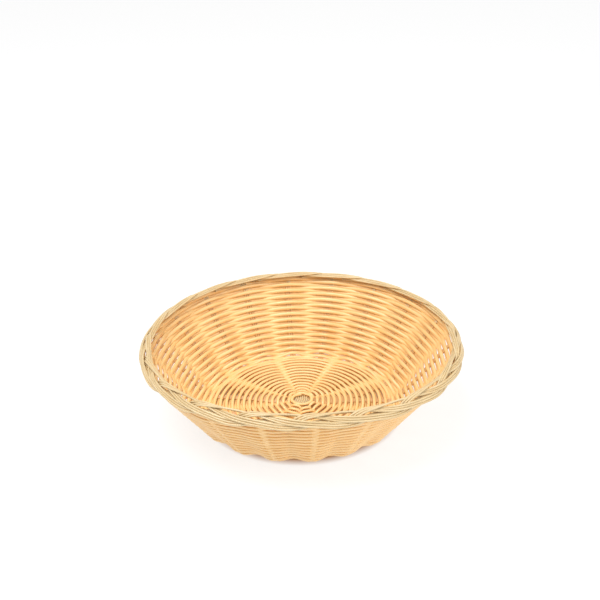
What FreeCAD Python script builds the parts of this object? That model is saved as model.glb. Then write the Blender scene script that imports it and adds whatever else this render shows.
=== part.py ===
import FreeCAD, Part
import math
import os
import re
import Sketcher
from FreeCAD import Vector

# A round hand-woven bread basket in polypropylene "rattan". The origin is on the table under the
# middle of the base, +Z is up and -Y is the front. Lengths are in millimetres, angles in degrees.
#
# How it is built: four bundles of six rods cross under the middle of the base, and a fifth bundle
# starts beside the crossing, so nine bundles run outwards. One round strand is woven over and under
# them as the flat base. At the foot of the wall each bundle opens into two groups of three rods, and
# three more stakes are let in, which makes nineteen groups. A thicker strand is woven round those as
# the flared wall. Above it each group bends over and is laid into the rim, behind one stake and in
# front of the next two.

DIMENSIONS = {
    "rim_radius": 118.1,          # outermost corners of the rim, before they are rounded
    "basket_height": 60.5,
    "base_radius": 75.0,          # where the outer face of the wall would meet the table
    "wall_flare": 0.767,          # how far the wall leans out for each millimetre up
    "corner_radius": 12.0,        # bend from base to wall, at the middle of the weave
    "weave_thickness": 6.0,
    "rod_diameter": 1.5,
    "bundle_pitch": 1.7,          # rod to rod in a bundle of six
    "group_pitch": 1.9,           # rod to rod in a group of three
    "crossing_pitch": 1.6,        # layer to layer where the bundles cross
    "crossing_bottom": 0.9,       # middle of the lowest layer there
    "crossing_radius": 15.5,      # the bundles lie over each other inside this radius
    "weave_start": 17.0,          # inner ends of the base weave, between the bundles
    "settled_radius": 22.5,       # every bundle is back at mid-weave height from here on
    "fan_radius": 40.0,           # the bundles open out from here to the wall
    "half_rod_start": 8.5,
    "bye_stake_start": 43.0,
    "channel_clearance": 0.2,
    "fan_channel": 3.0,           # height of the gap in which the rods fan out
    "wall_channel_foot": 6.0,     # height at which the nineteen wall channels start
    "wall_top": 50.2,             # top of the wall weave, at its middle
    "border_wave": 3.2,           # how far a border strand swings in and out
    "border_drop": 2.1,           # how far it sinks from one stake to the next
    "border_width": 3.8,
    "border_thickness": 1.6,
    "border_bend": 14.0,          # bend radius of a border strand
    "rod_bend": 6.0,              # bend radius of a rod in the base
}
BUNDLES = 9
GROUPS = 19
GROUP_RODS = 3
FIRST_BUNDLE_ANGLE = 86.5         # bundle 0 points to the back, and the others follow clockwise
FIRST_GROUP_ANGLE = 95.0
BYE_GROUP = 10                    # the group that is let in, at the front
CROSSING_BUNDLES = {"a": (0, 5, 3), "b": (1, 6, 1), "c": (2, 7, 2), "d": (3, 8, 0)}
HALF_BUNDLE = 4                   # its rods start beside the crossing
BORDER_SINKS = 0.15               # a border strand is level up to here, in stake spacings
# Its route: stake spacings from its own stake, and how many border waves out it stands there.
BORDER_ROUTE = [(-0.1, 0), (BORDER_SINKS, 0), (0.5, 0), (1, -1), (1.5, 0), (2, 1), (2.5, 1), (3, 1), (3.3, 1)]

doc = FreeCAD.newDocument("bread_basket")
sheet = doc.addObject("Spreadsheet::Sheet", "Dimensions")
for row, (alias, value) in enumerate(DIMENSIONS.items(), start=1):
    sheet.set(f"A{row}", alias)
    sheet.set(f"B{row}", str(value))
    sheet.setAlias(f"B{row}", alias)
doc.recompute()
SHEET_PREFIX = {alias: f"Dimensions.{alias}" for alias in DIMENSIONS}


def cell(alias):
    """A driving dimension as the sheet holds it."""
    return float(sheet.get(alias))


# ---------------------------------------------------------------- sketches and features
def in_sheet(text):
    """An expression with each alias written out as a cell of the sheet."""
    return re.sub(r"[a-z_]+", lambda word: SHEET_PREFIX.get(word[0], word[0]), text)


def new_sketch(body, name):
    """A sketch on the body's own XZ plane, so its x is the radius and its y is the height."""
    plane = next(item for item in body.Origin.OriginFeatures if item.Role == "XZ_Plane")
    sketch = body.newObject("Sketcher::SketchObject", name)
    sketch.AttachmentSupport = (plane, [""])
    sketch.MapMode = "FlatFace"
    return sketch


def bind(sketch, kind, *values, to):
    """A dimension of the sketch that follows an expression."""
    index = sketch.addConstraint(Sketcher.Constraint(kind, *values, sheet.evalExpression(in_sheet(to))))
    sketch.setExpression(f"Constraints[{index}]", in_sheet(to))


def polygon(body, name, corners):
    """A closed outline whose corners are pairs of expressions, or None where it meets an axis."""
    sketch = new_sketch(body, name)
    points = [Vector(*(sheet.evalExpression(in_sheet(text)) if text else 0.0 for text in corner), 0)
              for corner in corners]
    for start, end in zip(points, points[1:] + points[:1]):
        sketch.addGeometry(Part.LineSegment(start, end), False)
    for side, (across, up) in enumerate(corners):
        sketch.addConstraint(Sketcher.Constraint("Coincident", side - 1 if side else len(points) - 1, 2,
                                                 side, 1))
        if across:
            bind(sketch, "DistanceX", -1, 1, side, 1, to=across)
        else:
            sketch.addConstraint(Sketcher.Constraint("PointOnObject", side, 1, -2))
        if up:
            bind(sketch, "DistanceY", -1, 1, side, 1, to=up)
        else:
            sketch.addConstraint(Sketcher.Constraint("PointOnObject", side, 1, -1))
    return sketch


FLARE_LENGTH = "sqrt(1 + wall_flare ^ 2)"
MID_WALL_FOOT = f"base_radius - weave_thickness / 2 * {FLARE_LENGTH}"     # mid-weave line at height 0
# Radius at which the base starts to bend up into the wall.
BASE_EDGE = (f"{MID_WALL_FOOT} + wall_flare * weave_thickness / 2"
             f" - corner_radius * ({FLARE_LENGTH} - wall_flare)")
# The bend from base to wall turns by 90 degrees less the wall's lean.
LEAN = math.atan(DIMENSIONS["wall_flare"])
TURN = math.pi / 2 - LEAN


def mid_wall_radius(height):
    """Radius of the middle of the wall weave at a height."""
    return sheet.evalExpression(in_sheet(MID_WALL_FOOT)) + cell("wall_flare") * height


def bent_band(body, name, half, top):
    """Outline of a band round the base corner and up the wall, half thick each side of mid-weave."""
    centre = Vector(sheet.evalExpression(in_sheet(BASE_EDGE)),
                    cell("weave_thickness") / 2 + cell("corner_radius"), 0)
    half_value = sheet.evalExpression(in_sheet(half))
    outward = Vector(math.cos(LEAN), -math.sin(LEAN), 0)
    top_value = sheet.evalExpression(in_sheet(top))
    top_middle = Vector(mid_wall_radius(top_value), top_value, 0)
    inner, outer = cell("corner_radius") - half_value, cell("corner_radius") + half_value

    sketch = new_sketch(body, name)
    arcs = []
    for radius in (inner, outer):
        circle = Part.Circle(centre, Vector(0, 0, 1), radius)
        arcs.append(sketch.addGeometry(Part.ArcOfCircle(circle, -math.pi / 2, -math.pi / 2 + TURN), False))
    ends = [top_middle - outward * half_value, top_middle + outward * half_value]
    walls = [sketch.addGeometry(Part.LineSegment(centre + outward * radius, end), False)
             for radius, end in zip((inner, outer), ends)]
    rim = sketch.addGeometry(Part.LineSegment(*ends), False)
    foot = sketch.addGeometry(Part.LineSegment(centre - Vector(0, inner, 0), centre - Vector(0, outer, 0)),
                              False)

    sketch.addConstraint(Sketcher.Constraint("Coincident", arcs[0], 3, arcs[1], 3))
    sketch.addConstraint(Sketcher.Constraint("Vertical", foot))
    for side in (0, 1):
        sketch.addConstraint(Sketcher.Constraint("Coincident", arcs[side], 1, foot, side + 1))
        sketch.addConstraint(Sketcher.Constraint("Tangent", arcs[side], 2, walls[side], 1))
        sketch.addConstraint(Sketcher.Constraint("Coincident", walls[side], 2, rim, side + 1))
    sketch.addConstraint(Sketcher.Constraint("PointOnObject", arcs[0], 3, foot))
    sketch.addConstraint(Sketcher.Constraint("Perpendicular", walls[1], rim))
    bind(sketch, "Radius", arcs[0], to=f"corner_radius - {half}")
    bind(sketch, "Radius", arcs[1], to=f"corner_radius + {half}")
    bind(sketch, "DistanceY", -1, 1, arcs[0], 3, to="weave_thickness / 2 + corner_radius")
    bind(sketch, "DistanceX", -1, 1, arcs[0], 3, to=BASE_EDGE)
    bind(sketch, "DistanceY", -1, 1, rim, 1, to=f"{top} + {half} * wall_flare / {FLARE_LENGTH}")
    bind(sketch, "DistanceX", -1, 1, walls[0], 2,
         to=f"{MID_WALL_FOOT} + wall_flare * {top} - {half} / {FLARE_LENGTH}")
    return sketch


def turned(body, kind, name, sketch):
    """A full turn of the sketch about the upright axis, added or cut."""
    feature = body.newObject(kind, name)
    feature.Profile = sketch
    feature.ReferenceAxis = (sketch, ["V_Axis"])
    feature.Angle = 360
    sketch.Visibility = False
    doc.recompute()
    return feature


def channels(body, name, sketch, width, count):
    """Channels cut along radii, all alike, with the sketch as their side view."""
    cut = body.newObject("PartDesign::Pocket", name)
    cut.Profile = sketch
    cut.Midplane = True
    cut.setExpression("Length", in_sheet(width))
    before = body.Shape.Volume
    doc.recompute()
    assert cut.Shape.Volume < before, f"{name} cuts nothing"
    pattern = body.newObject("PartDesign::PolarPattern", f"{name}_round")
    pattern.Originals = [cut]
    pattern.Axis = (sketch, ["V_Axis"])
    pattern.Angle = 360
    pattern.Occurrences = count
    body.Tip = pattern
    doc.recompute()
    return pattern


def turn_to(body, angle):
    body.Placement = FreeCAD.Placement(Vector(), FreeCAD.Rotation(Vector(0, 0, 1), angle))


# ---------------------------------------------------------------- woven base and wall
def base_weave():
    """The flat disc of fine weave, with a channel for each bundle and one gap where they fan out."""
    channel = "rod_diameter + 2 * channel_clearance"
    below = f"weave_thickness / 2 - ({channel}) / 2"
    above = f"weave_thickness / 2 + ({channel}) / 2"
    body = doc.addObject("PartDesign::Body", "base_weave")
    disc = polygon(body, "base_disc_outline", [
        ("weave_start", None), (BASE_EDGE, None), (BASE_EDGE, "weave_thickness"),
        ("weave_start", "weave_thickness")])
    turned(body, "PartDesign::Revolution", "base_disc", disc)
    fan_low = "weave_thickness / 2 - fan_channel / 2"
    fan_high = "weave_thickness / 2 + fan_channel / 2"
    fan = polygon(body, "fan_gap_outline", [
        ("fan_radius", fan_low), (f"{BASE_EDGE} + 1", fan_low), (f"{BASE_EDGE} + 1", fan_high),
        ("fan_radius", fan_high)])
    turned(body, "PartDesign::Groove", "fan_gap", fan)
    side = polygon(body, "bundle_channel_outline", [
        (None, None), ("settled_radius", None), ("settled_radius", below), ("fan_radius + 1", below),
        ("fan_radius + 1", above), ("settled_radius", above), ("settled_radius", "weave_thickness"),
        (None, "weave_thickness")])
    channels(body, "bundle_channel", side,
             "5 * bundle_pitch + rod_diameter + 2 * channel_clearance", BUNDLES)
    turn_to(body, FIRST_BUNDLE_ANGLE % (360 / BUNDLES))
    return body


def wall_weave():
    """The corner and the flared wall of coarser weave, with a channel for each group of three rods."""
    body = doc.addObject("PartDesign::Body", "wall_weave")
    shell = bent_band(body, "wall_outline", "weave_thickness / 2", "wall_top")
    turned(body, "PartDesign::Revolution", "wall_shell", shell)
    gap = bent_band(body, "corner_gap_outline", "fan_channel / 2", "wall_channel_foot * 1.5")
    turned(body, "PartDesign::Groove", "corner_gap", gap)
    half = f"(rod_diameter / 2 + channel_clearance) * {FLARE_LENGTH}"
    foot = f"{MID_WALL_FOOT} + wall_flare * wall_channel_foot"
    top = f"{MID_WALL_FOOT} + wall_flare * basket_height"
    side = polygon(body, "stake_channel_outline", [
        (f"{foot} - {half}", "wall_channel_foot"), (f"{foot} + {half}", "wall_channel_foot"),
        (f"{top} + {half}", "basket_height"), (f"{top} - {half}", "basket_height")])
    channels(body, "stake_channel", side,
             "2 * group_pitch + rod_diameter + 2 * channel_clearance", GROUPS)
    turn_to(body, FIRST_GROUP_ANGLE % (360 / GROUPS))
    return body


# ---------------------------------------------------------------- rods
def along(angle):
    return Vector(math.cos(math.radians(angle)), math.sin(math.radians(angle)), 0)


def across(angle):
    return Vector(-math.sin(math.radians(angle)), math.cos(math.radians(angle)), 0)


def bundle_angle(bundle):
    return FIRST_BUNDLE_ANGLE - bundle * 360 / BUNDLES


def group_angle(group):
    return FIRST_GROUP_ANGLE - group * 360 / GROUPS


def route(points, radii):
    """Straight runs between the points, joined at each inner point by a tangent arc."""
    edges = []
    position = points[0]
    for before, corner, after, radius in zip(points, points[1:], points[2:], radii):
        inward = (before - corner).normalize()
        onward = (after - corner).normalize()
        half_turn = (math.pi - inward.getAngle(onward)) / 2
        if half_turn < math.radians(0.5):
            continue
        longest = 0.45 * min((before - corner).Length, (after - corner).Length)
        radius = min(radius, longest / math.tan(half_turn))
        reach = radius * math.tan(half_turn)
        middle = (inward + onward).normalize()
        start, end = corner + inward * reach, corner + onward * reach
        top = corner + middle * (radius / math.cos(half_turn) - radius)
        edges.append(Part.LineSegment(position, start).toShape())
        edges.append(Part.Arc(start, top, end).toShape())
        position = end
    edges.append(Part.LineSegment(position, points[-1]).toShape())
    return Part.Wire(edges)


def wall_points(group, place):
    """A rod's points from the foot of the wall to the underside of its border strand."""
    line = across(group_angle(group)) * (place * cell("group_pitch"))
    middle = cell("weave_thickness") / 2
    rim = cell("rim_radius") - cell("border_wave") - cell("border_width") / 2
    end = cell("basket_height") - cell("border_thickness")
    stations = [(mid_wall_radius(middle), middle), (mid_wall_radius(cell("wall_top")), cell("wall_top")),
                (rim, end)]
    return [along(group_angle(group)) * radius + line + Vector(0, 0, height) for radius, height in stations]


def base_points(bundle, rod, layer):
    """A rod's points in one arm of a bundle, from the crossing outwards to where it fans out."""
    angle = bundle_angle(bundle)
    half = 1 if rod >= GROUP_RODS else -1
    line = across(angle) * ((rod - (2 * GROUP_RODS - 1) / 2) * cell("bundle_pitch"))
    middle = cell("weave_thickness") / 2
    points = [along(angle) * cell("crossing_radius") + line + Vector(0, 0, layer),
              along(angle) * cell("settled_radius") + line + Vector(0, 0, middle)]
    # The three rods of a half turn together, so the outer one turns later than the inner one.
    centre = along(angle) * cell("fan_radius") + across(angle) * (half * GROUP_RODS / 2 * cell("bundle_pitch"))
    group = group_of(bundle, rod)
    aim = wall_points(group, 0)[0]
    fan = math.atan2((aim - centre).dot(across(angle)), (aim - centre).dot(along(angle)))
    place = rod % GROUP_RODS - 1
    shift = across(angle + math.degrees(fan / 2)) * (place * cell("bundle_pitch") / math.cos(fan / 2))
    points.append(centre + shift + Vector(0, 0, middle))
    return points


def group_of(bundle, rod):
    """The group of three that a rod joins: the clockwise half of a bundle goes to the later group."""
    signed = bundle if bundle <= BUNDLES // 2 else bundle - BUNDLES
    return 2 * signed + (0 if rod >= GROUP_RODS else 1)


def arm(bundle, rod, layer):
    """One whole arm of a rod and its bend radii: crossing, base, fan, wall and up into the rim."""
    points = base_points(bundle, rod, layer) + wall_points(group_of(bundle, rod), rod % GROUP_RODS - 1)
    radii = [cell("rod_bend")] * 3 + [cell("corner_radius"), cell("rod_bend")]
    return points, radii


def swept_rod(points, radii):
    """A round rod along the route, and a check of its volume against its length."""
    path = route(points, radii)
    area = math.pi * cell("rod_diameter") ** 2 / 4
    section = Part.Wire([Part.makeCircle(cell("rod_diameter") / 2, points[0], points[1] - points[0])])
    solid = path.makePipeShell([section], True, False)
    assert abs(solid.Volume / (area * path.Length) - 1) < 0.01, "a rod's sweep lost its shape"
    return solid


def through_rod(first, last, rod, layer):
    """A rod that runs up one wall, under the base and up the opposite wall."""
    opposite = 2 * GROUP_RODS - 1 - rod
    out_points, out_radii = arm(first, rod, layer)
    back_points, back_radii = arm(last, opposite, layer)
    normals = across(bundle_angle(first)), across(bundle_angle(last))
    offset = (rod - (2 * GROUP_RODS - 1) / 2) * cell("bundle_pitch")
    middle = (normals[0] - normals[1]) * (offset / (1 - normals[0].dot(normals[1])))
    points = out_points[::-1] + [middle + Vector(0, 0, layer)] + back_points
    bend = cell("rod_bend")
    return swept_rod(points, out_radii[::-1] + [bend, bend, bend] + back_radii)


def half_rod(rod):
    """A rod of the fifth bundle, from beside the crossing up the front wall."""
    middle = cell("weave_thickness") / 2
    points, radii = arm(HALF_BUNDLE, rod, middle)
    angle = bundle_angle(HALF_BUNDLE)
    line = across(angle) * ((rod - (2 * GROUP_RODS - 1) / 2) * cell("bundle_pitch"))
    points[0:2] = [along(angle) * cell("half_rod_start") + line + Vector(0, 0, middle)]
    return swept_rod(points, radii[1:])


def bye_stake(place):
    """A stake of the nineteenth group, let into the base weave."""
    angle = group_angle(BYE_GROUP)
    line = across(angle) * (place * cell("group_pitch"))
    start = along(angle) * cell("bye_stake_start") + line + Vector(0, 0, cell("weave_thickness") / 2)
    return swept_rod([start] + wall_points(BYE_GROUP, place), [cell("corner_radius"), cell("rod_bend")])


# ---------------------------------------------------------------- rim
def border_strand():
    """One group's three tails laid flat side by side, from the stake at angle 0 round to the fourth."""
    rim = cell("rim_radius") - cell("border_wave") - cell("border_width") / 2
    top = cell("basket_height") - cell("border_thickness") / 2
    spacing = 360 / GROUPS

    points = []
    for stakes, waves in BORDER_ROUTE:
        height = top - cell("border_drop") * max(stakes - BORDER_SINKS, 0)
        points.append(along(stakes * spacing) * (rim + waves * cell("border_wave")) + Vector(0, 0, height))
    path = route(points, [cell("border_bend")] * len(points))
    run = (points[1] - points[0]).normalize()
    side = run.cross(Vector(0, 0, 1)).normalize() * (cell("border_width") / 2)
    up = side.cross(run).normalize() * (cell("border_thickness") / 2)
    corners = [points[0] + side + up, points[0] - side + up, points[0] - side - up, points[0] + side - up]
    pipe = Part.BRepOffsetAPI.MakePipeShell(path)
    pipe.setBiNormalMode(Vector(0, 0, 1))
    pipe.add(Part.makePolygon(corners + corners[:1]))
    pipe.build()
    pipe.makeSolid()
    return pipe.shape()


# ---------------------------------------------------------------- assembly
def solid_node(label, shape, angle=0.0):
    node = doc.addObject("Part::Feature", label)
    node.Shape = shape
    node.Placement = FreeCAD.Placement(Vector(), FreeCAD.Rotation(Vector(0, 0, 1), angle))
    return node


nodes = [base_weave(), wall_weave()]
for letter, (first, last, level) in CROSSING_BUNDLES.items():
    layer = cell("crossing_bottom") + level * cell("crossing_pitch")
    for rod in range(2 * GROUP_RODS):
        nodes.append(solid_node(f"through_rod_{letter}{rod + 1}", through_rod(first, last, rod, layer)))
for rod in range(2 * GROUP_RODS):
    nodes.append(solid_node(f"half_rod_{rod + 1}", half_rod(rod)))
for place in (-1, 0, 1):
    nodes.append(solid_node(f"bye_stake_{place + 2}", bye_stake(place)))
strand = border_strand()
for group in range(GROUPS):
    nodes.append(solid_node(f"border_strand_{group + 1:02d}", strand, group_angle(group)))

doc.recompute()
for item in doc.Objects:
    assert not {"Invalid", "Error"} & set(item.State), f"{item.Name} failed: {item.State}"
os.makedirs("parts", exist_ok=True)
for node in nodes:
    node.Label = node.Name
    assert not node.Shape.isNull() and node.Shape.isValid(), f"{node.Label} is not a valid solid"
    assert len(node.Shape.Solids) == 1, f"{node.Label} is not one solid"
for node in nodes:
    node.Shape.exportStep(f"parts/{node.Label}.step")
    print(f"{node.Label}: {node.Shape.Volume:.0f} mm3, {node.Shape.BoundBox}")
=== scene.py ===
import math

import bpy
import numpy as np
from mathutils import Matrix, Vector


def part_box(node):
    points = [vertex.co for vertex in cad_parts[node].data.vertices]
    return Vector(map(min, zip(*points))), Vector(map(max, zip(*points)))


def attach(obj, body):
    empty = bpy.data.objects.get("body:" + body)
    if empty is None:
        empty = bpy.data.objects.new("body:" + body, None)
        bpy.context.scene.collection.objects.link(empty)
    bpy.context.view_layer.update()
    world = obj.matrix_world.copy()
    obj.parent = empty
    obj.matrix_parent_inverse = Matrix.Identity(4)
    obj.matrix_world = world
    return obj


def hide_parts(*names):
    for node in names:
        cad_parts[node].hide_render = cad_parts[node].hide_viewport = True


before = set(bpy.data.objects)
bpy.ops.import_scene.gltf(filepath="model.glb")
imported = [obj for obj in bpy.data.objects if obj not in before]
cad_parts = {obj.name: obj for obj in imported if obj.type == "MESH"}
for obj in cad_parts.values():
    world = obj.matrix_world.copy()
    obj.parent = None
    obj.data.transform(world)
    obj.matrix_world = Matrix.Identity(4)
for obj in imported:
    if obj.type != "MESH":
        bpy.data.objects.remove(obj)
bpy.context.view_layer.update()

# A round bread basket woven from polypropylene strands, modelled strand by strand: one fine weaver
# spirals over and under nine bundles of six rods as the base, one thicker weaver spirals round
# nineteen groups of three rods as the wall, and the rods' own tails are laid round the top as the
# rim. Lengths are in millimetres until a mesh is made. Angles are in radians and run anticlockwise
# seen from above.

MM = 0.001
UP = np.array([0, 0, 1.0])
RNG = np.random.default_rng(19)

# ---------------------------------------------------------------- dimensions
BUNDLES, GROUPS, GROUP_RODS = 9, 19, 3
BUNDLE_RODS = 2 * GROUP_RODS
FIRST_BUNDLE = math.radians(86.5)
FIRST_GROUP = math.radians(95.0)
BUNDLE_STEP = 2 * math.pi / BUNDLES
GROUP_STEP = 2 * math.pi / GROUPS
HALF_BUNDLE = 4                          # starts beside the crossing instead of running through
BYE_GROUP = 10                           # let in where the base turns to wall
# The bundles at both ends of each set of through rods, and its level in the crossing, from below.
CROSSING = {"a": (0, 5, 3), "b": (1, 6, 1), "c": (2, 7, 2), "d": (3, 8, 0)}
MIDDLE_LEVEL = (len(CROSSING) - 1) / 2
LAYER = 0.62                             # between the squeezed layers of the crossing
THROUGH_START, HALF_START = 7, 9         # radii at which a bundle leaves the crossing
BYE_START = 46                           # radius at which the let-in rods start
# Radii of a bundle's way out, and how much of its layer's height it keeps at each.
SETTLING = ((13, 0.8), (20, 0.3), (27, 0), (42, 0))

ROD_R = 0.75
BASE_STRAND = (1.24, 0.98)               # half the width and half the thickness of a weaver
WALL_STRAND = (1.52, 0.95)
ROD_SIDES, BASE_SIDES, WALL_SIDES = 8, 8, 10
BUNDLE_PITCH, GROUP_PITCH, RIM_PITCH = 1.62, 1.6, 1.38    # from one rod to the next
BASE_ROW, WALL_ROW = 2.15, 2.47          # from one row of weave to the next
BASE_POINTS, WALL_POINTS = 12, 10        # along a weaver, from one stake to the next

BASE_EDGE, _, BASE_THICK = np.array(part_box("base_weave")[1]) / MM
MIDDLE = BASE_THICK / 2                  # height of mid-weave
CORNER_R = 12.0                          # of the bend from base to wall
LEAN = math.atan(0.767)                  # of the wall, from upright
TURN = math.pi / 2 - LEAN
ARC = CORNER_R * TURN                    # length of the bend
WALL_TOP = 54.7                          # middle of the last row
STAKE_TOP = 48.5                         # where the rods leave the wall for the rim
FLOOR_GAP = 0.02                         # the lowest strand just clears the table

DOME, DOME_R = 0.5, 30.0                 # the base rises a little where its bundles cross
LOBE = 1.9                               # the wall bulges between its stakes, most at the foot
LOBE_GROWS = (-2, 7)                     # distances out from the edge of the base
LOBE_FADES, LOBE_FADE = 9, 26            # where it starts to fade, and how slowly it goes
LOBE_KEPT = 0.25                         # the share that doesn't fade
DENT_IN, DENT_UP = 4.0, 1.3              # the front of the rim stands a little flat and high
DENT_SPAN = math.radians(38)
BULGE, BULGE_SPAN = 2.2, math.radians(42)  # the wall stands out a little at the front left
BULGE_AT = math.radians(215)
BULGE_GROWS = (50, 70)                   # radii at which it starts and is whole
BULGE_ENDS = (54, 46)                    # heights at which it is gone and is whole

RIM_SHIFT = 0.8                          # the rim sits a little to the right of the base
TAIL_END, TAIL_VARIES = 3.75, 0.05       # a tail's length in stake spacings
TAIL_POINTS = 20                         # along a tail, from one stake to the next
RIM_CLOSING = 0.3                        # stake spacings over which a tail's rods close up
# A tail's way through the rim, behind one stake, in front of the next two and in before the
# fourth. Its columns are stake spacings gone by, the radius and height of the middle rod, and the
# way the three rods face, in degrees from outwards (0) over up (90) to inwards (180).
TAIL = (
    (0.00, 112.2, 53.4, 0), (0.10, 112.8, 56.2, 10), (0.28, 112.3, 58.9, 55),
    (0.55, 111.0, 59.3, 100), (1.00, 110.1, 59.0, 128), (1.45, 110.9, 58.1, 105),
    (2.00, 114.9, 56.9, 38), (2.50, 116.0, 55.5, 32), (3.00, 115.8, 53.9, 30),
    (3.50, 113.4, 55.6, 80), (4.00, 111.6, 56.2, 100))

# Slow waves of hand unevenness: how many to a turn, their drift from row to row, and their phase.
RIPPLES = ((2, 0.05, 0.4), (3, -0.08, 2.1), (5, 0.11, 4.0), (7, 0.19, 1.3), (11, -0.27, 5.2))
RIPPLE_PEAK = 3                          # about the most that five such waves add up to


# ---------------------------------------------------------------- the surface that is woven
def along(angle):
    """The direction outwards at an angle."""
    return np.stack([np.cos(angle), np.sin(angle), np.zeros_like(angle)], -1)


def across(angle):
    """The direction round the basket at an angle, anticlockwise."""
    return np.stack([-np.sin(angle), np.cos(angle), np.zeros_like(angle)], -1)


def gone_by(value, start, end):
    """The share of the way from start to end that a value has gone, from 0 to 1."""
    return np.clip((value - start) / (end - start), 0, 1)


def dome(radius):
    t = gone_by(radius, DOME_R, 0)
    return DOME * t * t * (3 - 2 * t)


def section(s):
    """Radius, height and outward normal of mid-weave, s millimetres out from the base's edge."""
    s = np.asarray(s, float)
    turn = np.clip(s / CORNER_R, 0, TURN)
    flat = np.minimum(s, 0)
    up = np.maximum(s - ARC, 0)
    radius = BASE_EDGE + flat + CORNER_R * np.sin(turn) + up * math.sin(LEAN)
    height = MIDDLE + CORNER_R * (1 - np.cos(turn)) + up * math.cos(LEAN) + dome(radius)
    return radius, height, np.sin(turn), -np.cos(turn)


def wall_length(height):
    """How far out mid-weave reaches a height on the wall."""
    return ARC + (height - MIDDLE - CORNER_R * (1 - math.cos(TURN))) / math.cos(LEAN)


def lobe(angle, s):
    """How far the weave stands out: in at each group of stakes and out between them."""
    faded = np.exp(-np.clip(s - LOBE_FADES, 0, None) / LOBE_FADE)
    size = gone_by(s, *LOBE_GROWS) ** 1.5 * (LOBE_KEPT + (1 - LOBE_KEPT) * faded)
    return -LOBE * size * np.cos(GROUPS * (angle - FIRST_GROUP))


def on_weave(angle, s, out):
    """The point at an angle and distance, out millimetres outside mid-weave."""
    radius, height, nr, nz = section(s)
    out = out + lobe(angle, s)
    return along(angle) * (radius + out * nr)[..., None] + UP * (height + out * nz)[..., None]


def dented(path):
    """The path with the flat place in the front of the rim and the bulge in the wall beside it."""
    x, y, z = path.T
    radius = np.maximum(np.hypot(x, y), 1)
    dent = np.exp(-(np.arctan2(x, -y) / DENT_SPAN) ** 2) * np.clip(z / WALL_TOP, 0, 1.1) ** 2
    off_bulge = (np.arctan2(y, x) - BULGE_AT + math.pi) % (2 * math.pi) - math.pi
    bulge = np.exp(-(off_bulge / BULGE_SPAN) ** 2)
    bulge = bulge * gone_by(radius, *BULGE_GROWS) * gone_by(z, *BULGE_ENDS)
    stretch = 1 + (BULGE * bulge - DENT_IN * dent) / radius
    return np.stack([x * stretch, y * stretch, z + DENT_UP * dent], -1)


# ---------------------------------------------------------------- meshes
def unit(vectors):
    return vectors / np.linalg.norm(vectors, axis=1)[:, None]


def round_off(points, rounds):
    """Cuts the corners of a run of points, keeping its ends."""
    points = np.asarray(points, float)
    for _ in range(rounds):
        a, b = points[:-1], points[1:]
        cut = np.empty((2 * len(a), 3))
        cut[0::2] = 0.75 * a + 0.25 * b
        cut[1::2] = 0.25 * a + 0.75 * b
        points = np.vstack([points[:1], cut[1:-1], points[-1:]])
    return points


def strand(name, path, up, half, sides, material):
    """A strand along the path, half its width and thickness given, its thickness along up.

    Its attribute holds the way round and the length along it.
    """
    path = dented(np.asarray(path, float))
    run = unit(np.gradient(path, axis=0))
    side = unit(np.cross(run, up))
    rise = np.cross(side, run)
    length = np.r_[0, np.cumsum(np.linalg.norm(np.diff(path, axis=0), axis=1))]
    turn = np.linspace(0, 2 * math.pi, sides, endpoint=False)
    width, thickness = half
    ring = (width * np.cos(turn)[None, :, None] * side[:, None]
            + thickness * np.sin(turn)[None, :, None] * rise[:, None])
    points = (path[:, None] + ring).reshape(-1, 3)
    points[:, 2] = np.maximum(points[:, 2], FLOOR_GAP)
    points *= MM

    first = np.arange(len(path) - 1)[:, None] * sides
    k = np.arange(sides)[None]
    after = (k + 1) % sides
    quads = np.stack([first + k, first + after, first + sides + after, first + sides + k], -1)
    last = (len(path) - 1) * sides
    ends = [list(range(sides)), list(range(last + sides - 1, last - 1, -1))]
    mesh = bpy.data.meshes.new(name)
    mesh.from_pydata(points.tolist(), [], quads.reshape(-1, 4)[:, ::-1].tolist() + ends)
    place = mesh.attributes.new("strand", "FLOAT_VECTOR", "POINT")
    start = RNG.uniform(0, 500)          # so that no two strands are marked alike
    values = np.stack([np.tile(np.cos(turn), len(path)), np.tile(np.sin(turn), len(path)),
                       np.repeat(length + start, sides)], -1)
    place.data.foreach_set("vector", values.ravel())
    mesh.polygons.foreach_set("use_smooth", [True] * len(mesh.polygons))
    mesh.materials.append(material)
    piece = bpy.data.objects.new(name, mesh)
    bpy.context.collection.objects.link(piece)
    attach(piece, "root")
    return piece


# ---------------------------------------------------------------- materials
MIX_SHARE, MIX_FIRST, MIX_SECOND, MIX_COLOUR = 0, 6, 7, 2    # sockets of a colour mix node
DRAWN_SHARE = 0.45                       # how much of the colour follows the draw lines
# Painted shade on the rods comes in below the rim and away from the crossing, between these
# heights and distances.
UNDER_RIM = (53 * MM, 48 * MM)           # heights between which a rod goes into the weave
OFF_CROSSING = (7 * MM, 10 * MM)         # distances from the origin between which it does
TABLE_GLOW = 0.77
CLEAR_OF_FOOT = (69 * MM, 77 * MM)       # distances between which the glow turns white


def blend(nodes, links, share, first, second):
    """The colour between first and second, each of them a colour or the output of a node."""
    mix = nodes.new("ShaderNodeMix")
    mix.data_type = "RGBA"
    links.new(share, mix.inputs[MIX_SHARE])
    for colour, socket in ((first, mix.inputs[MIX_FIRST]), (second, mix.inputs[MIX_SECOND])):
        if isinstance(colour, tuple):
            socket.default_value = (*colour, 1)
        else:
            links.new(colour, socket)
    return mix.outputs[MIX_COLOUR]


def remap(nodes, links, source, span, result=(0.0, 1.0)):
    """A value that goes through result while source goes through span."""
    node = nodes.new("ShaderNodeMapRange")
    for socket, value in zip(("From Min", "From Max", "To Min", "To Max"), (*span, *result)):
        node.inputs[socket].default_value = value
    links.new(source, node.inputs["Value"])
    return node.outputs["Result"]


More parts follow.
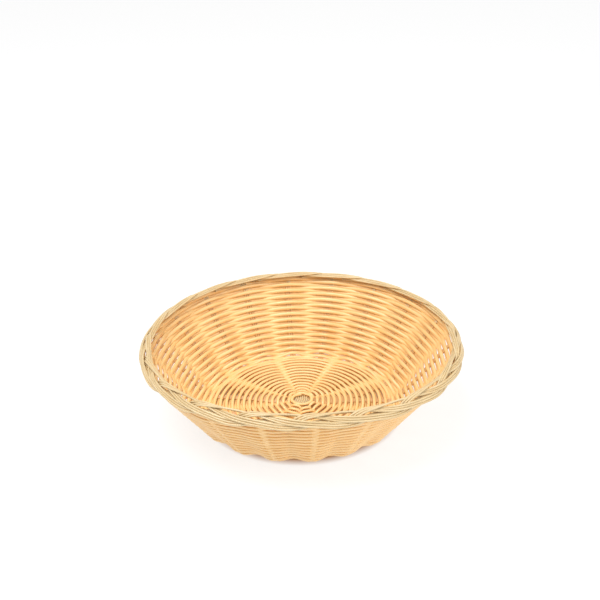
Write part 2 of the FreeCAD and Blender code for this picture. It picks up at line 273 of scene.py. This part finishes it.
def arithmetic(nodes, links, operation, *terms):
    """The result of an operation on terms that are numbers or the outputs of nodes."""
    node = nodes.new("ShaderNodeMath")
    node.operation = operation
    for term, socket in zip(terms, node.inputs):
        if isinstance(term, float):
            socket.default_value = term
        else:
            links.new(term, socket)
    return node.outputs[0]


def whereabouts(nodes, links):
    """A place's position, and its distance from the origin."""
    position = nodes.new("ShaderNodeNewGeometry").outputs["Position"]
    distance = nodes.new("ShaderNodeVectorMath")
    distance.operation = "LENGTH"
    links.new(position, distance.inputs[0])
    return position, distance.outputs["Value"]


def shade_in_weave(nodes, links):
    """How far a place is in the weave, from 0 in the rim and the crossing to 1 between them: the
    share of painted shade a rod gets there.
    """
    position, distance = whereabouts(nodes, links)
    split = nodes.new("ShaderNodeSeparateXYZ")
    links.new(position, split.inputs[0])
    under_rim = remap(nodes, links, split.outputs["Z"], UNDER_RIM)
    off_crossing = remap(nodes, links, distance, OFF_CROSSING)
    return arithmetic(nodes, links, "MULTIPLY", under_rim, off_crossing)


def plastic(name, dark, light, painted_shade=None):
    """Extruded plastic: colour drifting along the strand, fine draw lines and a satin shine.

    A rod takes a deeper colour inside the weave: painted shade and painted orange bounce light
    from the strands pressed against it.
    """
    material = bpy.data.materials.new(name)
    material.use_nodes = True
    nodes, links = material.node_tree.nodes, material.node_tree.links
    shader = nodes["Principled BSDF"]
    place = nodes.new("ShaderNodeAttribute")
    place.attribute_name = "strand"

    def noise(scale, detail, stretch):
        mapping = nodes.new("ShaderNodeMapping")
        mapping.inputs["Scale"].default_value = stretch
        texture = nodes.new("ShaderNodeTexNoise")
        texture.inputs["Scale"].default_value = scale
        texture.inputs["Detail"].default_value = detail
        links.new(place.outputs["Vector"], mapping.inputs["Vector"])
        links.new(mapping.outputs["Vector"], texture.inputs["Vector"])
        return texture.outputs["Fac"]

    drift = noise(1.0, 3.0, (0.3, 0.3, 0.045))
    lines = noise(2.6, 2.0, (1.0, 1.0, 0.02))
    drifting = arithmetic(nodes, links, "MULTIPLY", drift, 1 - DRAWN_SHARE)
    mixed = arithmetic(nodes, links, "MULTIPLY_ADD", lines, DRAWN_SHARE, drifting)
    colour = blend(nodes, links, remap(nodes, links, mixed, (0.3, 0.7)), dark, light)
    if painted_shade:
        # Painted shade and painted orange bounce light on a rod inside the weave.
        colour = blend(nodes, links, shade_in_weave(nodes, links), colour, painted_shade)
    links.new(colour, shader.inputs["Base Color"])

    links.new(remap(nodes, links, lines, (0.0, 1.0), (0.28, 0.42)), shader.inputs["Roughness"])
    relief = nodes.new("ShaderNodeBump")
    relief.inputs["Strength"].default_value = 0.5
    relief.inputs["Distance"].default_value = 0.1 * MM
    links.new(lines, relief.inputs["Height"])
    links.new(relief.outputs["Normal"], shader.inputs["Normal"])
    shader.inputs["IOR"].default_value = 1.49
    shader.inputs["Specular IOR Level"].default_value = 0.8
    return material


WEAVER = plastic("peach_polypropylene", (0.86, 0.50, 0.165), (0.96, 0.67, 0.315))
# The rods' third colour is painted shade and painted orange bounce light, used inside the weave.
ROD = plastic("ivory_polypropylene", (0.58, 0.39, 0.16), (0.80, 0.64, 0.385), (0.72, 0.41, 0.16))


# ---------------------------------------------------------------- weavers
def wave(phase, sharp):
    """A weaver's swing, from 1 outside a stake to -1 inside the next, flat for longer if sharp."""
    return np.tanh(sharp * np.cos(phase)) / math.tanh(sharp)


def ripple(angle, s, size):
    """A slow unevenness of hand weaving that neighbouring rows share."""
    total = np.zeros_like(angle)
    for turns, drift, phase in RIPPLES:
        total += np.sin(turns * angle + drift * s + phase)
    return size * total / RIPPLE_PEAK


def spiral(rows, per_step, steps):
    """Angles along a spiral of so many rows, and the rows gone by at each."""
    count = int(rows * steps * per_step)
    gone = np.arange(count + 1) / (steps * per_step)
    return gone * 2 * math.pi, gone


def base_weaver():
    start = 6.4                          # radius of the first round
    rows = (BASE_EDGE - start) / BASE_ROW
    turned, gone = spiral(rows, BASE_POINTS, BUNDLES)
    angle = FIRST_BUNDLE + turned
    s = start - BASE_EDGE + gone * BASE_ROW + ripple(turned, gone * 2.1, 0.16)
    radius = BASE_EDGE + s
    # It swings wider round the layers of the crossing, and less where the wall takes over.
    pressed, layered = 0.25, 1 - gone_by(radius, 10, 24)
    swing = ROD_R + BASE_STRAND[1] - pressed + MIDDLE_LEVEL * LAYER * layered
    swing *= 1 - 0.4 * gone_by(s, -6, 0)
    # The first round lies on top of the crossing, and the weave proper starts with the second.
    woven, on_top = gone_by(radius, 8.2, 10.6), 2.7
    out = woven * swing * wave(BUNDLES / 2 * turned, 1.35) - on_top * (1 - woven)
    path = on_weave(angle, s, out)
    up = np.broadcast_to(UP, path.shape)
    piece = strand("base_weaver", path, up, BASE_STRAND, BASE_SIDES, WEAVER)
    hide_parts("base_weave")
    return piece


def wall_weaver():
    # It starts a little inside the edge of the base, with its first rows beaten closer.
    start, closer = -2.4, 1.0
    rows = math.floor((wall_length(WALL_TOP) - start) / WALL_ROW) + 1.0
    turned, gone = spiral(rows, WALL_POINTS, GROUPS)
    angle = FIRST_GROUP + turned
    s = start + gone * WALL_ROW + closer * np.exp(-gone / 2) + ripple(turned, gone * 2.4, 0.2)
    # The first rows and the last are flatter than the others.
    pressed = 0.45
    swing = ROD_R + WALL_STRAND[1] - pressed + ripple(turned * 1.7, gone * 3.0, 0.08)
    swing *= np.clip(0.55 + 0.05 * s, 0, 1) * np.clip(0.55 + 0.3 * (rows - gone), 0, 1)
    out = swing * wave(GROUPS / 2 * turned, 1.0)
    path = on_weave(angle, s, out)
    _, _, nr, nz = section(s)
    up = along(angle) * nr[:, None] + UP * nz[:, None]
    piece = strand("wall_weaver", path, up, WALL_STRAND, WALL_SIDES, WEAVER)
    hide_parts("wall_weave")
    return piece


# ---------------------------------------------------------------- rods and rim
def bundle_angle(bundle):
    return FIRST_BUNDLE - bundle * BUNDLE_STEP


def group_angle(group):
    return FIRST_GROUP - group * GROUP_STEP


def group_of(bundle, rod):
    """The group of three that a rod joins on the wall."""
    signed = bundle if bundle <= BUNDLES // 2 else bundle - BUNDLES
    return 2 * signed + (0 if rod >= GROUP_RODS else 1)


def rod_line(rod):
    """How far a rod lies to the left of the middle of its bundle, looking outwards."""
    return (rod - (BUNDLE_RODS - 1) / 2) * BUNDLE_PITCH


def base_run(bundle, rod, layer, start):
    """A rod in one arm of a bundle, out from the crossing to where the bundle opens."""
    angle = bundle_angle(bundle)
    line = across(angle) * rod_line(rod)
    return [along(angle) * radius + line + UP * (MIDDLE + dome(radius) + layer * share)
            for radius, share in ((start, 1), *SETTLING)]


def wall_run(group, place):
    """A rod from the edge of the base to the top of the wall."""
    angle = group_angle(group)
    bend, rise = np.linspace(2.5, ARC, 4), np.linspace(ARC + 4, wall_length(STAKE_TOP), 10)
    s = np.concatenate([[-4.0, 0.0], bend, rise])
    line = across(angle) * (place * GROUP_PITCH)
    return list(on_weave(np.full_like(s, angle), s, np.zeros_like(s)) + line)


def smooth_through(stations, steps):
    """Values at the steps of a smooth curve through stations whose first column is the step."""
    stations = np.array(stations, float)
    at, values = stations[:, 0], stations[:, 1:]
    slopes = np.gradient(values, at, axis=0)
    span = np.clip(np.searchsorted(at, steps, side="right") - 1, 0, len(at) - 2)
    width = (at[span + 1] - at[span])[:, None]
    t = ((steps - at[span]) / width[:, 0])[:, None]
    return ((2 * t ** 3 - 3 * t ** 2 + 1) * values[span]
            + (t ** 3 - 2 * t ** 2 + t) * width * slopes[span]
            + (3 * t ** 2 - 2 * t ** 3) * values[span + 1]
            + (t ** 3 - t ** 2) * width * slopes[span + 1])


def tail(group, place, end):
    """A rod's tail: up from the wall, to the left seen from inside, and round through the rim."""
    steps = np.linspace(0, end, int(end * TAIL_POINTS))
    radius, height, face = smooth_through(TAIL, steps).T
    angle = group_angle(group) + steps * GROUP_STEP
    face = np.radians(face)
    centre = along(angle) * radius[:, None] + UP * height[:, None] + np.array([RIM_SHIFT, 0, 0])
    run = unit(np.gradient(centre, axis=0))
    normal = along(angle) * np.cos(face)[:, None] + UP * np.sin(face)[:, None]
    side = unit(np.cross(normal, run))
    pitch = RIM_PITCH + (GROUP_PITCH - RIM_PITCH) * gone_by(steps, RIM_CLOSING, 0)
    return list(centre - side * (place * pitch)[:, None])


def rod_piece(name, nodes, points):
    path = round_off(points, 2)
    run = np.gradient(path, axis=0)
    no_rods_way = np.array([0.13, 0.21, 0.97])
    up = np.cross(run, np.cross(no_rods_way, run))
    piece = strand(name, path, up, (ROD_R, ROD_R), ROD_SIDES, ROD)
    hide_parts(*nodes)
    return piece


def border_node(group):
    return f"border_strand_{group % GROUPS + 1:02d}"


def arm(bundle, rod, layer, start):
    """A rod from the crossing out, up the wall and round the rim."""
    group, place = group_of(bundle, rod), rod % GROUP_RODS - 1
    end = TAIL_END + RNG.uniform(-TAIL_VARIES, TAIL_VARIES)
    return base_run(bundle, rod, layer, start) + wall_run(group, place) + tail(group, place, end)


def rods():
    for letter, (first, last, level) in CROSSING.items():
        layer = (level - MIDDLE_LEVEL) * LAYER
        for rod in range(BUNDLE_RODS):
            opposite = BUNDLE_RODS - 1 - rod
            # The two bundles aren't in line, so the rod bends where their lines meet.
            normals = across(bundle_angle(first)), across(bundle_angle(last))
            offset = rod_line(rod) / (1 - normals[0] @ normals[1])
            middle = (normals[0] - normals[1]) * offset + UP * (MIDDLE + DOME + layer)
            points = (arm(first, rod, layer, THROUGH_START)[::-1] + [middle]
                      + arm(last, opposite, layer, THROUGH_START))
            nodes = (f"through_rod_{letter}{rod + 1}", border_node(group_of(first, rod)),
                     border_node(group_of(last, opposite)))
            rod_piece(f"rod_{letter}{rod + 1}", nodes, points)
    for rod in range(BUNDLE_RODS):
        nodes = f"half_rod_{rod + 1}", border_node(group_of(HALF_BUNDLE, rod))
        rod_piece(f"rod_half_{rod + 1}", nodes, arm(HALF_BUNDLE, rod, 0, HALF_START))
    angle = group_angle(BYE_GROUP)
    for place in (-1, 0, 1):
        start = along(angle) * BYE_START + across(angle) * (place * GROUP_PITCH) + UP * MIDDLE
        points = [start] + wall_run(BYE_GROUP, place) + tail(BYE_GROUP, place, TAIL_END)
        nodes = f"bye_stake_{place + 2}", border_node(BYE_GROUP)
        rod_piece(f"rod_bye_{place + 2}", nodes, points)


base_weaver()
wall_weaver()
rods()


# ---------------------------------------------------------------- floor, light and camera
def light_table():
    """A matt surface that glows white, with only a dim warm glow under the foot of the basket:
    painted shade and orange bounce light beneath it.
    """
    material = bpy.data.materials.new("light_table")
    material.use_nodes = True
    nodes, links = material.node_tree.nodes, material.node_tree.links
    shader = nodes["Principled BSDF"]
    shader.inputs["Base Color"].default_value = (0.25, 0.25, 0.25, 1)
    shader.inputs["Roughness"].default_value = 0.9
    shader.inputs["Emission Strength"].default_value = TABLE_GLOW
    _, distance = whereabouts(nodes, links)
    clear = remap(nodes, links, distance, CLEAR_OF_FOOT)
    # Painted shade: under the foot the glow is dim and orange, standing for the shade and bounce
    # light beneath the basket.
    glow = blend(nodes, links, clear, (0.35, 0.16, 0.05), (1, 1, 1))
    links.new(glow, shader.inputs["Emission Color"])
    return material


def floor():
    half = 6.0                           # metres
    corners = [(-half, -half, 0), (half, -half, 0), (half, half, 0), (-half, half, 0)]
    mesh = bpy.data.meshes.new("floor")
    mesh.from_pydata(corners, [], [(0, 1, 2, 3)])
    mesh.materials.append(light_table())
    piece = bpy.data.objects.new("floor", mesh)
    bpy.context.collection.objects.link(piece)


def softbox(name, place, size, power):
    """A square light aimed at the origin."""
    light = bpy.data.lights.new(name, "AREA")
    light.shape = "RECTANGLE"
    light.size, light.size_y = size, size
    light.energy = power
    lamp = bpy.data.objects.new(name, light)
    lamp.location = place
    lamp.rotation_euler = (-Vector(place)).to_track_quat("-Z", "Y").to_euler()
    bpy.context.collection.objects.link(lamp)


def studio():
    """A bright grey world, a soft key light from above and a fill from the right."""
    world = bpy.data.worlds.new("studio")
    bpy.context.scene.world = world
    world.use_nodes = True
    background = world.node_tree.nodes["Background"]
    background.inputs["Color"].default_value = (1, 1, 1, 1)
    background.inputs["Strength"].default_value = 0.6
    softbox("key", (-0.45, -0.2, 1.4), 0.9, 16)
    softbox("fill", (0.9, -0.6, 0.8), 1.0, 7)
    bpy.context.scene.view_settings.view_transform = "Standard"


def camera():
    """Thirty degrees above the front, with the basket below the middle of the frame."""
    radius = 115.0 * MM                  # the unit in which its place was fitted to the photograph
    distance, elevation, roll = 6 * radius, math.radians(30.45), math.radians(-0.976)
    target = Vector((0, 0, 0.263 * radius))
    back = Vector((0, -math.cos(elevation), math.sin(elevation)))
    data = bpy.data.cameras.new("camera")
    data.sensor_width = 36.0
    data.lens = 55.7
    data.shift_x, data.shift_y = -0.0012, 0.1192
    data.dof.use_dof = False
    item = bpy.data.objects.new("camera", data)
    item.matrix_world = (Matrix.Translation(target + back * distance)
                         @ (-back).to_track_quat("-Z", "Y").to_matrix().to_4x4()
                         @ Matrix.Rotation(roll, 4, "Z"))
    bpy.context.collection.objects.link(item)
    bpy.context.scene.camera = item


floor()
studio()
camera()
